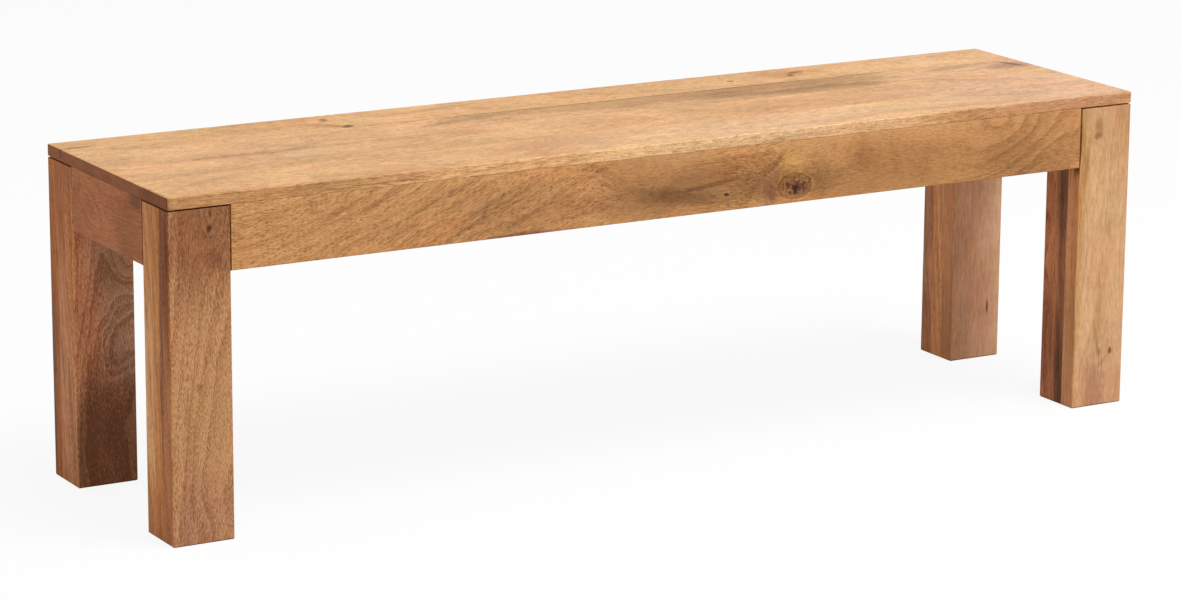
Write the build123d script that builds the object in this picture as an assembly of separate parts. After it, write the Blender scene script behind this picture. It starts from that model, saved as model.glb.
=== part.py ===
from build123d import *
import math
import os

# Bench of solid hardwood: a thin edge-glued seat, an apron frame flush with it, and four laminated
# block legs that unbolt from corner blocks. Lengths are in millimetres. X runs along the bench, the
# front is towards -Y, Z is up, and the origin is on the floor under the middle of the seat.

# Overall size
bench_length = 1475.0
bench_depth = 380.0
bench_height = 450.0

# Seat, made of boards glued edge to edge, listed from the front
seat_thickness = 16.0
seat_edge_radius = 1.5
seat_board_names = ("front", "inner_front", "inner_back", "back")
seat_board_shares = (0.274, 0.263, 0.226, 0.237)

# Apron rails
rail_height = 85.0
rail_thickness = 22.0
rail_edge_radius = 1.5
rail_end_gap = 0.9
rail_end_bevel = 0.6

# Block legs, each glued up from staves that lie side by side from front to back
leg_width = 85.0
leg_depth = 78.0
leg_stave_names = ("outer", "core", "inner")
leg_edge_radius = 1.8
leg_foot_bevel = 1.8
leg_top_bevel = 0.6
leg_top_gap = 1.6

# Corner blocks, across the inner corner of each leg
corner_flat_setback = 26.0
corner_block_thickness = 22.0
corner_block_rise = 25.0
corner_flat_relief = 4.0

# Hanger bolts that pull each leg against its corner block, with their washers and nuts
bolt_diameter = 8.0
bolt_spacing = 30.0
bolt_bite = 45.0
bolt_tip_length = 8.0
bolt_end_length = 4.0
bolt_end_bevel = 1.0
washer_diameter = 20.0
washer_thickness = 1.6
nut_width = 13.0
nut_height = 6.5
nut_bevel_depth = 0.8

# Cleats along the rails, screwed to the rails and to the seat
cleat_side = 20.0
cleat_end_gap = 2.0
cleat_edge_bevel = 1.5
long_cleat_screw_count = 5
short_cleat_screw_count = 2

# Cross bearers under the seat
bearer_count = 2
bearer_width = 22.0
bearer_height = 60.0
bearer_edge_radius = 1.5
bearer_screw_length = 40.0

# Dowels from the bearers into the rails
dowel_diameter = 8.0
dowel_spacing = 18.0
dowel_rail_depth = 14.0
dowel_bearer_depth = 20.0
dowel_end_bevel = 0.8
dowel_end_room = 0.5

# Pan-head wood screws
screw_diameter = 4.0
screw_head_diameter = 8.0
screw_head_height = 2.5
screw_head_radius = 1.2
screw_tip_length = 4.0
screw_bite = 10.0
drive_slot_length = 4.4
drive_slot_width = 1.0
drive_slot_depth = 1.2
block_screw_wall = 14.0
block_screw_spacing = 40.0
block_screw_setback = 10.0

# Room left round every screw, bolt and dowel in its hole, and the overrun of cuts
hole_clearance = 0.1
cut_overrun = 5.0

# Heights and corner places that follow from the sizes above
seat_underside = bench_height - seat_thickness
rail_underside = seat_underside - rail_height
leg_top = seat_underside - leg_top_gap
block_underside = rail_underside + corner_block_rise
block_middle = (block_underside + seat_underside) / 2
bearer_underside = seat_underside - bearer_height
flat_offset = leg_width + leg_depth - corner_flat_setback
block_offset = flat_offset + corner_block_thickness * math.sqrt(2)
block_near_end = flat_offset - rail_thickness
block_far_end = block_offset - rail_thickness
cleat_start = block_far_end + cleat_end_gap
cleat_inner_face = rail_thickness + cleat_side
cleat_screw_length = cleat_side + screw_bite
block_screw_length = block_screw_wall + screw_bite
notch_room = screw_head_height + dowel_end_room

# A turned shape can stand on its plane or hang from it
standing = (Align.CENTER, Align.CENTER, Align.MIN)
hanging = (Align.CENTER, Align.CENTER, Align.MAX)


def block_between(low, high):
    """A plain block between its lowest and highest corners."""
    size = Vector(*high) - Vector(*low)
    return Pos(*low) * Box(size.X, size.Y, size.Z, align=Align.MIN)


def from_front_left(piece):
    """Carries a piece drawn from the front left corner of the bench to its place about the origin."""
    return Pos(-bench_length / 2, -bench_depth / 2, 0) * piece


def in_corner(piece, side, end):
    """Carries a piece drawn in the front left corner to the corner with this side and end."""
    placed = from_front_left(piece)
    if end == "right":
        placed = mirror(placed, about=Plane.YZ)
    if side == "back":
        placed = mirror(placed, about=Plane.XZ)
    return placed


def in_all_corners(piece):
    """Copies of a piece drawn in the front left corner, one for each corner."""
    return [in_corner(piece, side, end) for side in ("front", "back") for end in ("left", "right")]


def bay_middles(start, end, count):
    """The middles of equal bays between start and end."""
    bay = (end - start) / count
    return [start + bay * (index + 0.5) for index in range(count)]


def bay_joints(start, end, count):
    """The places where equal bays between start and end meet."""
    bay = (end - start) / count
    return [start + bay * index for index in range(1, count)]


def wood_screw(seat, direction, length):
    """A pan-head screw whose head bears on the point seat and whose shank runs along direction."""
    radius = screw_diameter / 2
    shank = Cylinder(radius, length - screw_tip_length, align=standing)
    tip = Pos(0, 0, length - screw_tip_length) * Cone(radius, 0, screw_tip_length, align=standing)
    head = Cylinder(screw_head_diameter / 2, screw_head_height, align=hanging)
    head = fillet(head.edges().sort_by(Axis.Z)[:1], screw_head_radius)
    slot = Box(drive_slot_length, drive_slot_width, 2 * drive_slot_depth)
    slot = Pos(0, 0, -screw_head_height) * slot
    screw = head + shank + tip - slot - Rot(0, 0, 90) * slot
    return Plane(origin=seat, z_dir=direction) * screw


def screw_hole(seat, direction, length, entry=0):
    """The space a wood screw needs, with a wider entry for its head where the head is let in."""
    radius = screw_diameter / 2 + hole_clearance
    hole = Cylinder(radius, length + hole_clearance, align=standing)
    if entry:
        head_room = screw_head_diameter / 2 + hole_clearance
        hole += Cylinder(head_room, entry, align=hanging)
    return Plane(origin=seat, z_dir=direction) * hole


def hanger_bolt(plane):
    """A bolt with a wood point in the leg and a machine end through the block."""
    radius = bolt_diameter / 2
    outer = corner_block_thickness + washer_thickness + nut_height + bolt_end_length
    inner = bolt_bite - bolt_tip_length
    shank = Pos(0, 0, -outer) * Cylinder(radius, outer + inner, align=standing)
    shank = chamfer(shank.edges().sort_by(Axis.Z)[:1], bolt_end_bevel)
    tip = Pos(0, 0, inner) * Cone(radius, 0, bolt_tip_length, align=standing)
    return plane * (shank + tip)


def bolt_hole(plane):
    """The space of a hanger bolt through the corner block and into the leg."""
    radius = bolt_diameter / 2 + hole_clearance
    reach = corner_block_thickness + cut_overrun
    hole = Cylinder(radius, reach + bolt_bite + hole_clearance, align=standing)
    return plane * Pos(0, 0, -reach) * hole


def bolt_washer(plane):
    """A flat washer against the inner face of the corner block."""
    disc = Cylinder(washer_diameter / 2, washer_thickness)
    bore = Cylinder(bolt_diameter / 2 + hole_clearance, washer_thickness + cut_overrun)
    outward = corner_block_thickness + washer_thickness / 2
    return plane * Pos(0, 0, -outward) * (disc - bore)


def bolt_nut(plane):
    """A hexagon nut on the washer, with its corners bevelled."""
    flat_radius = nut_width / 2
    prism = extrude(RegularPolygon(flat_radius, 6, major_radius=False), nut_height)
    corner_radius = flat_radius / math.cos(math.pi / 6)
    turned = Cylinder(corner_radius, nut_height, align=standing)
    turned = chamfer(turned.edges().filter_by(GeomType.CIRCLE), nut_bevel_depth)
    bore = Cylinder(bolt_diameter / 2 + hole_clearance, 2 * nut_height + cut_overrun)
    outward = corner_block_thickness + washer_thickness + nut_height
    return plane * Pos(0, 0, -outward) * ((prism & turned) - bore)


def leg_bolt_planes():
    """One plane for each bolt of the front left leg, on the leg's flat and looking into the leg."""
    across = leg_width - corner_flat_setback / 2
    along = leg_depth - corner_flat_setback / 2
    heights = (block_middle - bolt_spacing / 2, block_middle + bolt_spacing / 2)
    return [Plane(origin=(across, along, height), z_dir=(-1, -1, 0)) for height in heights]


def block_screw_seats():
    """Where the screws of the front left corner block bear, with the way they point, to both rails."""
    far = block_near_end + block_screw_setback
    near = rail_thickness + block_screw_wall
    seats = []
    rise = block_screw_spacing / 2
    for height in (block_middle - rise, block_middle + rise):
        seats.append(((far, near, height), (0, -1, 0)))
        seats.append(((near, far, height), (-1, 0, 0)))
    return seats


def corner_block():
    """The block across the front left corner, mitred to sit flat on both rails."""
    outline = Polyline(
        (block_near_end, rail_thickness),
        (block_far_end, rail_thickness),
        (rail_thickness, block_far_end),
        (rail_thickness, block_near_end),
        close=True,
    )
    block = Pos(0, 0, block_underside) * extrude(make_face(outline), seat_underside - block_underside)
    entry = corner_block_thickness + cut_overrun
    for seat, direction in block_screw_seats():
        block -= screw_hole(seat, direction, block_screw_length, entry)
    for plane in leg_bolt_planes():
        block -= bolt_hole(plane)
    return block


def whole_leg():
    """The front left leg before it is parted into staves, with its flat and bolt holes."""
    leg = block_between((0, 0, 0), (leg_width, leg_depth, leg_top))
    rounded = fillet(leg.edges().filter_by(Axis.Z), leg_edge_radius)
    bevelled = chamfer(leg.faces().sort_by(Axis.Z)[0].edges(), leg_foot_bevel)
    bevelled = chamfer(bevelled.faces().sort_by(Axis.Z)[-1].edges(), leg_top_bevel)
    leg = rounded & bevelled
    beyond = corner_flat_setback + cut_overrun
    outline = Polyline(
        (flat_offset - leg_depth - cut_overrun, leg_depth + cut_overrun),
        (flat_offset - leg_depth + beyond, leg_depth + cut_overrun),
        (flat_offset - leg_depth + beyond, leg_depth - corner_flat_setback - cut_overrun),
        close=True,
    )
    flat_bottom = block_underside - corner_flat_relief
    leg -= Pos(0, 0, flat_bottom) * extrude(make_face(outline), leg_top - flat_bottom + cut_overrun)
    for plane in leg_bolt_planes():
        leg -= bolt_hole(plane)
    return leg


def leg_staves():
    """The staves of the front left leg, from its outer face inwards."""
    leg = whole_leg()
    stave_depth = leg_depth / len(leg_stave_names)
    staves = []
    for index in range(len(leg_stave_names)):
        slice_low = (-cut_overrun, index * stave_depth, -cut_overrun)
        slice_high = (leg_width + cut_overrun, (index + 1) * stave_depth, bench_height)
        staves.append(leg & block_between(slice_low, slice_high))
    return staves


def rail_between(start, end):
    """A rail along X, outer face on Y zero, with rounded lower edges and bevelled outer ends."""
    rail = block_between((start, 0, rail_underside), (end, rail_thickness, seat_underside))
    upright = rail.edges().filter_by(Axis.Z)
    rail = chamfer(upright.group_by(Axis.Y)[0], rail_end_bevel)
    lower = rail.faces().sort_by(Axis.Z)[0].edges().filter_by(Axis.X)
    return fillet(lower, rail_edge_radius)


def dowel_places():
    """Where each bearer meets the front rail's inner face at a dowel, drawn from the front left corner."""
    end_middle = (bearer_underside + seat_underside - cleat_side - notch_room) / 2
    heights = (end_middle - dowel_spacing / 2, end_middle + dowel_spacing / 2)
    return [(across, rail_thickness, height) for across in bearer_places() for height in heights]


def bearer_places():
    """The middles of the bearers along the bench, evenly spaced between its ends."""
    return bay_joints(0, bench_length, bearer_count + 1)


def dowel(place):
    """A dowel that lies along Y, half in the rail and half in the bearer."""
    length = dowel_rail_depth + dowel_bearer_depth
    pin = Cylinder(dowel_diameter / 2, length, align=standing)
    pin = chamfer(pin.edges().filter_by(GeomType.CIRCLE), dowel_end_bevel)
    pin = Pos(0, 0, -dowel_rail_depth) * pin
    return Plane(origin=place, z_dir=(0, 1, 0)) * pin


def dowel_hole(place):
    """The hole of a dowel in the rail and the bearer, a little deeper than the dowel is long."""
    radius = dowel_diameter / 2 + hole_clearance
    length = dowel_rail_depth + dowel_bearer_depth + 2 * dowel_end_room
    start = Pos(0, 0, -dowel_rail_depth - dowel_end_room)
    hole = start * Cylinder(radius, length, align=standing)
    return Plane(origin=place, z_dir=(0, 1, 0)) * hole


def on_both_sides(piece):
    """A piece drawn at the front, with its mirror at the back."""
    placed = from_front_left(piece)
    return [placed, mirror(placed, about=Plane.XZ)]


def on_both_ends(piece):
    """A piece drawn at the left end, with its mirror at the right end."""
    placed = from_front_left(piece)
    return [placed, mirror(placed, about=Plane.YZ)]


def cleat(start, end):
    """A square strip along X behind the front rail, with its free corner bevelled."""
    low = (start, rail_thickness, seat_underside - cleat_side)
    strip = block_between(low, (end, cleat_inner_face, seat_underside))
    free_corner = strip.edges().filter_by(Axis.X).group_by(Axis.Z)[0].sort_by(Axis.Y)[-1]
    return chamfer(free_corner, cleat_edge_bevel)


def cleat_screw_seats(start, end, count):
    """Seats of a cleat's screws: count into the rail, and one between each pair up into the seat."""
    height = seat_underside - cleat_side / 2
    row = rail_thickness + cleat_side / 2
    cleat_underside = seat_underside - cleat_side
    seats = [((place, cleat_inner_face, height), (0, -1, 0)) for place in bay_middles(start, end, count)]
    seats += [((place, row, cleat_underside), (0, 0, 1)) for place in bay_joints(start, end, count)]
    return seats


def turned_to_end(piece):
    """Swaps X and Y, which turns a piece drawn along the front rail into one along the left end rail."""
    return mirror(piece, about=Plane(origin=(0, 0, 0), z_dir=(1, -1, 0)))


def bearer(place):
    """A bearer across the bench, notched round the cleats at both upper corners."""
    low = (place - bearer_width / 2, rail_thickness, bearer_underside)
    high = (place + bearer_width / 2, bench_depth - rail_thickness, seat_underside)
    beam = block_between(low, high)
    lower = beam.faces().sort_by(Axis.Z)[0].edges().filter_by(Axis.Y)
    beam = fillet(lower, bearer_edge_radius)
    notch_reach = cleat_inner_face + notch_room
    notch_floor = seat_underside - cleat_side - notch_room
    front_notch = block_between(
        (place - bearer_width, 0, notch_floor),
        (place + bearer_width, notch_reach, bench_height),
    )
    back_notch = block_between(
        (place - bearer_width, bench_depth - notch_reach, notch_floor),
        (place + bearer_width, bench_depth, bench_height),
    )
    return beam - front_notch - back_notch


def bearer_screw_seats():
    """Seats of the screws that go up through the bearers, one into each seat board."""
    clear_start = cleat_inner_face + notch_room
    rows = bay_middles(clear_start, bench_depth - clear_start, len(seat_board_names))
    height = seat_underside + screw_bite - bearer_screw_length
    return [((place, row, height), (0, 0, 1)) for place in bearer_places() for row in rows]


def seat_boards(holes):
    """The seat with its eased outer edges, drilled from below and parted into its boards."""
    seat = block_between((0, 0, seat_underside), (bench_length, bench_depth, bench_height))
    seat = fillet(seat.edges(), seat_edge_radius)
    seat = from_front_left(seat)
    boards = {}
    front_edge = -bench_depth / 2
    for name, share in zip(seat_board_names, seat_board_shares):
        back_edge = front_edge + bench_depth * share / sum(seat_board_shares)
        low = (-bench_length, front_edge, 0)
        high = (bench_length, back_edge, bench_height + cut_overrun)
        boards[name + "_seat_board"] = (seat & block_between(low, high)) - holes
        front_edge = back_edge
    return boards


# Screws, bolts and dowels, with the holes they need, in every corner and along every rail
block_screws = []
block_screw_holes = []
for seat, direction in block_screw_seats():
    block_screws += in_all_corners(wood_screw(seat, direction, block_screw_length))
    block_screw_holes += in_all_corners(screw_hole(seat, direction, block_screw_length))

bolts = []
washers = []
nuts = []
for plane in leg_bolt_planes():
    bolts += in_all_corners(hanger_bolt(plane))
    washers += in_all_corners(bolt_washer(plane))
    nuts += in_all_corners(bolt_nut(plane))

long_cleat_seats = cleat_screw_seats(cleat_start, bench_length - cleat_start, long_cleat_screw_count)
short_cleat_seats = cleat_screw_seats(cleat_start, bench_depth - cleat_start, short_cleat_screw_count)
cleat_screws = []
cleat_screw_holes = []
for seat, direction in long_cleat_seats:
    cleat_screws += on_both_sides(wood_screw(seat, direction, cleat_screw_length))
    cleat_screw_holes += on_both_sides(screw_hole(seat, direction, cleat_screw_length))
for seat, direction in short_cleat_seats:
    cleat_screws += on_both_ends(turned_to_end(wood_screw(seat, direction, cleat_screw_length)))
    cleat_screw_holes += on_both_ends(turned_to_end(screw_hole(seat, direction, cleat_screw_length)))

bearer_screws = []
bearer_screw_holes = []
for seat, direction in bearer_screw_seats():
    entry = seat[2] - bearer_underside + cut_overrun
    bearer_screws.append(from_front_left(wood_screw(seat, direction, bearer_screw_length)))
    bearer_screw_holes.append(from_front_left(screw_hole(seat, direction, bearer_screw_length, entry)))

dowels = []
dowel_holes = []
for place in dowel_places():
    dowels += on_both_sides(dowel(place))
    dowel_holes += on_both_sides(dowel_hole(place))

# Every node, by name
nodes = seat_boards(cleat_screw_holes + bearer_screw_holes)

long_rail = rail_between(leg_width + rail_end_gap, bench_length - leg_width - rail_end_gap)
short_rail = turned_to_end(rail_between(leg_depth + rail_end_gap, bench_depth - leg_depth - rail_end_gap))
long_cleat = cleat(cleat_start, bench_length - cleat_start)
short_cleat = turned_to_end(cleat(cleat_start, bench_depth - cleat_start))
for name, rail, strip in zip(("front", "back"), on_both_sides(long_rail), on_both_sides(long_cleat)):
    nodes[name + "_rail"] = rail - (block_screw_holes + cleat_screw_holes + dowel_holes)
    nodes[name + "_cleat"] = strip - cleat_screw_holes
for name, rail, strip in zip(("left", "right"), on_both_ends(short_rail), on_both_ends(short_cleat)):
    nodes[name + "_end_rail"] = rail - (block_screw_holes + cleat_screw_holes)
    nodes[name + "_end_cleat"] = strip - cleat_screw_holes

block = corner_block()
staves = leg_staves()
for side in ("front", "back"):
    for end in ("left", "right"):
        corner = side + "_" + end
        nodes[corner + "_corner_block"] = in_corner(block, side, end)
        for name, stave in zip(leg_stave_names, staves):
            nodes[corner + "_leg_" + name + "_stave"] = in_corner(stave, side, end)

for number, place in enumerate(bearer_places(), start=1):
    beam = from_front_left(bearer(place))
    nodes["cross_bearer_" + str(number)] = beam - (bearer_screw_holes + dowel_holes)

nodes["bearer_dowels"] = Compound(children=dowels)
nodes["bearer_screws"] = Compound(children=bearer_screws)
nodes["cleat_screws"] = Compound(children=cleat_screws)
nodes["corner_block_screws"] = Compound(children=block_screws)
nodes["leg_hanger_bolts"] = Compound(children=bolts)
nodes["leg_bolt_washers"] = Compound(children=washers)
nodes["leg_bolt_nuts"] = Compound(children=nuts)

os.makedirs("parts", exist_ok=True)
for name, shape in nodes.items():
    export_step(shape, "parts/" + name + ".step")
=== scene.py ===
import math
import bpy
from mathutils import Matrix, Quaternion, Vector


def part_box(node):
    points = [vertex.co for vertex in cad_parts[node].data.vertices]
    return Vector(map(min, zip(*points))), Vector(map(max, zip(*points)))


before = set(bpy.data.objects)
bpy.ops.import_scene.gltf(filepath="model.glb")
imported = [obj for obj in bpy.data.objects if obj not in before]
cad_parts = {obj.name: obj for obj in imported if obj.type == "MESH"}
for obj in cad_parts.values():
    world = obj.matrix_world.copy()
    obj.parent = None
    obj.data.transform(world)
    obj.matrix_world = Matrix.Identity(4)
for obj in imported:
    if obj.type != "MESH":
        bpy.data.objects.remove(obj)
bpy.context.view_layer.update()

# The view of the photograph: a long lens about six metres away, in front of the bench and to its left,
# and about a metre above the seat.
camera_place = Vector((-2.781, -4.785, 1.5545))
camera_azimuth = math.radians(-29.93)
camera_elevation = math.radians(13.81)
camera_roll = math.radians(0.36)
backward = Vector((
    math.sin(camera_azimuth) * math.cos(camera_elevation),
    -math.cos(camera_azimuth) * math.cos(camera_elevation),
    math.sin(camera_elevation),
))
camera = bpy.data.objects.new("camera", bpy.data.cameras.new("camera"))
camera.data.sensor_width = 36.0
camera.data.lens = 126.9
camera.data.clip_end = 60.0
camera.location = camera_place
camera.rotation_mode = "QUATERNION"
camera.rotation_quaternion = (-backward).to_track_quat("-Z", "Y") @ Quaternion((0, 0, 1), camera_roll)
bpy.context.scene.collection.objects.link(camera)
bpy.context.scene.camera = camera
bpy.context.scene.view_settings.view_transform = "Standard"


# The floor is a plain white sheet, wide enough to have no edge in any view. To the camera it mostly glows,
# so it is white, and the rest of its shading gives the legs a soft shadow. To bounced light it is greyer.
def seen_or_bounced(tree, seen, bounced):
    """One value for rays from the camera, and another for the light that bounces about."""
    level = tree.nodes.new("ShaderNodeMapRange")
    level.inputs["To Min"].default_value = bounced
    level.inputs["To Max"].default_value = seen
    ray = tree.nodes.new("ShaderNodeLightPath")
    tree.links.new(ray.outputs["Is Camera Ray"], level.inputs["Value"])
    return level.outputs[0]


floor_side = 40.0
paper_roughness = 0.9
bpy.ops.object.select_all(action="DESELECT")
bpy.ops.mesh.primitive_plane_add(size=floor_side)
floor = bpy.context.object
floor.name = "floor"
floor_paper = bpy.data.materials.new("floor_paper")
floor_paper.use_nodes = True
paper_tree = floor_paper.node_tree
paper = paper_tree.nodes["Principled BSDF"]
paper.inputs["Roughness"].default_value = paper_roughness
paper_tree.links.new(seen_or_bounced(paper_tree, seen=0.97, bounced=0.6), paper.inputs["Base Color"])
glow = paper_tree.nodes.new("ShaderNodeEmission")
either = paper_tree.nodes.new("ShaderNodeMixShader")
paper_tree.links.new(seen_or_bounced(paper_tree, seen=0.9, bounced=0.0), either.inputs[0])
paper_tree.links.new(paper.outputs[0], either.inputs[1])
paper_tree.links.new(glow.outputs[0], either.inputs[2])
paper_tree.links.new(either.outputs[0], paper_tree.nodes["Material Output"].inputs["Surface"])
floor.data.materials.append(floor_paper)


# The light of a studio: an even white surround, one large softbox overhead, a little to the front and right,
# and a weak low one in front. The seat is brightest, the front less so and the left ends least.
surround = bpy.data.worlds.new("surround")
surround.use_nodes = True
bpy.context.scene.world = surround
sky_tree = surround.node_tree
sky = sky_tree.nodes["Background"]
sky.inputs["Color"].default_value = (1, 1, 1, 1)
sky_tree.links.new(seen_or_bounced(sky_tree, seen=1.0, bounced=0.5), sky.inputs["Strength"])
lights_aim = Vector((0, 0, 0.3))
for light_name, size, energy, place in (
    ("overhead_softbox", 2.6, 165.0, (1.0, -2.0, 4.6)),
    ("low_softbox", 2.2, 42.0, (-0.8, -5.4, 1.0)),
):
    softbox = bpy.data.objects.new(light_name, bpy.data.lights.new(light_name, "AREA"))
    softbox.data.size = size
    softbox.data.energy = energy
    softbox.location = place
    softbox.rotation_mode = "QUATERNION"
    softbox.rotation_quaternion = (lights_aim - softbox.location).to_track_quat("-Z", "Y")
    softbox.visible_camera = False
    bpy.context.scene.collection.objects.link(softbox)


# The seat is four boards of pale honey hardwood, planed flush and glued edge to edge, with a satin clear
# coat. Each board is cut from another place in a log, so each has its own growth rings, knots and stains.
def feed(tree, socket, value):
    """Links a shader socket to another, or gives it a plain value."""
    if isinstance(value, bpy.types.NodeSocket):
        tree.links.new(value, socket)
    elif socket.type == "RGBA" and len(value) == 3:
        socket.default_value = (*value, 1.0)
    else:
        socket.default_value = value


def maths(tree, operation, first, second=0.0, third=0.0):
    """The result of one sum on numbers."""
    node = tree.nodes.new("ShaderNodeMath")
    node.operation = operation
    for socket, value in zip(node.inputs, (first, second, third)):
        feed(tree, socket, value)
    return node.outputs[0]


def vector_maths(tree, operation, first, second=(0.0, 0.0, 0.0)):
    """The result of one sum on two vectors, which is a number for a length or a dot product."""
    node = tree.nodes.new("ShaderNodeVectorMath")
    node.operation = operation
    feed(tree, node.inputs[0], first)
    if operation == "SCALE":
        feed(tree, node.inputs["Scale"], second)
    elif operation not in ("LENGTH", "ABSOLUTE"):
        feed(tree, node.inputs[1], second)
    return node.outputs["Value" if operation in ("LENGTH", "DOT_PRODUCT") else "Vector"]


def rise(tree, value, start, end, low=0.0, high=1.0):
    """A smooth step from low to high as value goes from start to end."""
    node = tree.nodes.new("ShaderNodeMapRange")
    node.interpolation_type = "SMOOTHSTEP"
    feed(tree, node.inputs["Value"], value)
    for name, number in (("From Min", start), ("From Max", end), ("To Min", low), ("To Max", high)):
        feed(tree, node.inputs[name], number)
    return node.outputs[0]


def swing(tree, noise, width, offset=0.0):
    """Noise made to swing evenly about offset, by width."""
    return maths(tree, "MULTIPLY_ADD", maths(tree, "SUBTRACT", noise, 0.5), width, offset)


def wavering(tree, value, noise, width):
    """A number that noise moves up and down by width."""
    return maths(tree, "ADD", value, swing(tree, noise, width))


def laid_over(tree, mode, amount, under, over):
    """One colour laid over another, by amount."""
    node = tree.nodes.new("ShaderNodeMix")
    node.data_type = "RGBA"
    node.blend_type = mode
    feed(tree, node.inputs[0], amount)
    feed(tree, node.inputs[6], under)
    feed(tree, node.inputs[7], over)
    return node.outputs[2]


def ramp(tree, value, stops):
    """The colour at value along a ramp of (position, colour) stops."""
    node = tree.nodes.new("ShaderNodeValToRGB")
    elements = node.color_ramp.elements
    while len(elements) < len(stops):
        elements.new(0.5)
    for element, (position, colour) in zip(elements, stops):
        element.position = position
        element.color = (*colour, 1.0)
    feed(tree, node.inputs[0], value)
    return node.outputs[0]


def parts_of(tree, colour):
    """The three channels of a noise colour, as three noises that don't follow each other."""
    node = tree.nodes.new("ShaderNodeSeparateColor")
    feed(tree, node.inputs[0], colour)
    return node.outputs[:3]


def coordinates(tree, place):
    """The three numbers of a place."""
    node = tree.nodes.new("ShaderNodeSeparateXYZ")
    feed(tree, node.inputs[0], place)
    return node.outputs


def cloud(tree, place, detail, roughness=0.5, wanted="Fac"):
    """Cloudy noise at a place that is already stretched and scaled."""
    node = tree.nodes.new("ShaderNodeTexNoise")
    feed(tree, node.inputs["Vector"], place)
    feed(tree, node.inputs["Scale"], 1.0)
    feed(tree, node.inputs["Detail"], detail)
    feed(tree, node.inputs["Roughness"], roughness)
    return node.outputs[wanted]


def cells(tree, place, scale=1.0):
    """Irregular cells: how far a point is from the middle of its cell, and its cell's random number."""
    node = tree.nodes.new("ShaderNodeTexVoronoi")
    feed(tree, node.inputs["Vector"], place)
    feed(tree, node.inputs["Scale"], scale)
    return node.outputs["Distance"], parts_of(tree, node.outputs["Color"])[0]


def lengthwise(grain, along, across):
    """A scale vector for a board whose fibres run along the axis grain."""
    return tuple(along if axis == grain else across for axis in range(3))


def drawn_out(tree, grain, place, along, across):
    """A place scaled so that a metre holds so many clouds or cells along the grain and across it."""
    return vector_maths(tree, "MULTIPLY", place, lengthwise(grain, along, across))


level = (0, 0, 0)


def nearness(tree, place, centre, reach, turn=level):
    """Distance from the centre of an egg-shaped spot, which is one on its edge. turn is in degrees."""
    node = tree.nodes.new("ShaderNodeMapping")
    node.vector_type = "TEXTURE"
    feed(tree, node.inputs["Vector"], place)
    node.inputs["Location"].default_value = centre
    node.inputs["Rotation"].default_value = [math.radians(angle) for angle in turn]
    node.inputs["Scale"].default_value = reach
    return vector_maths(tree, "LENGTH", node.outputs[0])


def edge_distance(tree, place, low, high):
    """How far a point of a box's surface is from the box's nearest edge."""
    away = vector_maths(tree, "ABSOLUTE", vector_maths(tree, "SUBTRACT", place, (low + high) / 2))
    across, deep, up = coordinates(tree, vector_maths(tree, "SUBTRACT", (high - low) / 2, away))
    lesser = maths(tree, "MINIMUM", across, deep)
    greater = maths(tree, "MAXIMUM", across, deep)
    return maths(tree, "MAXIMUM", lesser, maths(tree, "MINIMUM", greater, up))


def new_finish(name):
    """A new material, its nodes, its shader, and the place of each point of the bench."""
    material = bpy.data.materials.new(name)
    material.use_nodes = True
    tree = material.node_tree
    place = tree.nodes.new("ShaderNodeTexCoord").outputs["Object"]
    return material, tree, tree.nodes["Principled BSDF"], place


def emboss(tree, shader, relief, strength, depth):
    """Raises and sinks the surface by its relief."""
    bump = tree.nodes.new("ShaderNodeBump")
    bump.inputs["Strength"].default_value = strength
    bump.inputs["Distance"].default_value = depth
    tree.links.new(relief, bump.inputs["Height"])
    tree.links.new(bump.outputs[0], shader.inputs["Normal"])


def bent_fibres(tree, grain, place, shifted, wander_share, climbs):
    """Where a point lies among fibres that wander from side to side on their way along the board and drift
    aside at each climb. The second place wanders less and doesn't drift."""
    wander_run, wander_pitch = 4.0, 13.0
    most_along, most_aside = 0.06, 0.03 * wander_share
    loose_share = 0.6
    wander = drawn_out(tree, grain, shifted, wander_run, wander_pitch)
    wander = cloud(tree, wander, detail=2.0, roughness=0.35, wanted="Color")
    wander = vector_maths(tree, "SUBTRACT", wander, (0.5, 0.5, 0.5))
    wander = vector_maths(tree, "MULTIPLY", wander, lengthwise(grain, most_along, most_aside))
    fibres = vector_maths(tree, "ADD", place, wander)
    how_far_along = coordinates(tree, place)[grain]
    for start, end, push in climbs:
        drift = vector_maths(tree, "SCALE", push, rise(tree, how_far_along, start, end))
        fibres = vector_maths(tree, "SUBTRACT", fibres, drift)
    loose = vector_maths(tree, "ADD", place, vector_maths(tree, "SCALE", wander, loose_share))
    return fibres, loose


def swellings(tree, grain, loose, shifted, waviness, swirls, knots):
    """How far the growth rings are pushed outwards round each swirl and knot, and how far the streaks and
    fibres go with them: by a part at a swirl, and all the way at a knot."""
    swirl_fibre_share, knot_fibre_share = 0.3, 1.0
    knot_spread, knot_push = 2.2, 0.9
    uneven_run, uneven_pitch = 22.0, 45.0
    unevenness = cloud(tree, drawn_out(tree, grain, shifted, uneven_run, uneven_pitch), detail=3.0)
    places = [(*swirl, swirl_fibre_share) for swirl in swirls]
    for centre, reach, depth in knots:
        spread = [knot_spread * part for part in reach]
        places.append((centre, spread, level, knot_push * min(reach), knot_fibre_share))
    hump = bulge = 0.0
    for centre, reach, turn, push, fibre_share in places:
        near = wavering(tree, nearness(tree, loose, centre, reach, turn), unevenness, waviness)
        bell = maths(tree, "EXPONENT", maths(tree, "MULTIPLY", maths(tree, "MULTIPLY", near, near), -1.0))
        hump = maths(tree, "MULTIPLY_ADD", bell, push, hump)
        bulge = maths(tree, "MULTIPLY_ADD", bell, fibre_share * push, bulge)
    return hump, bulge


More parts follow.
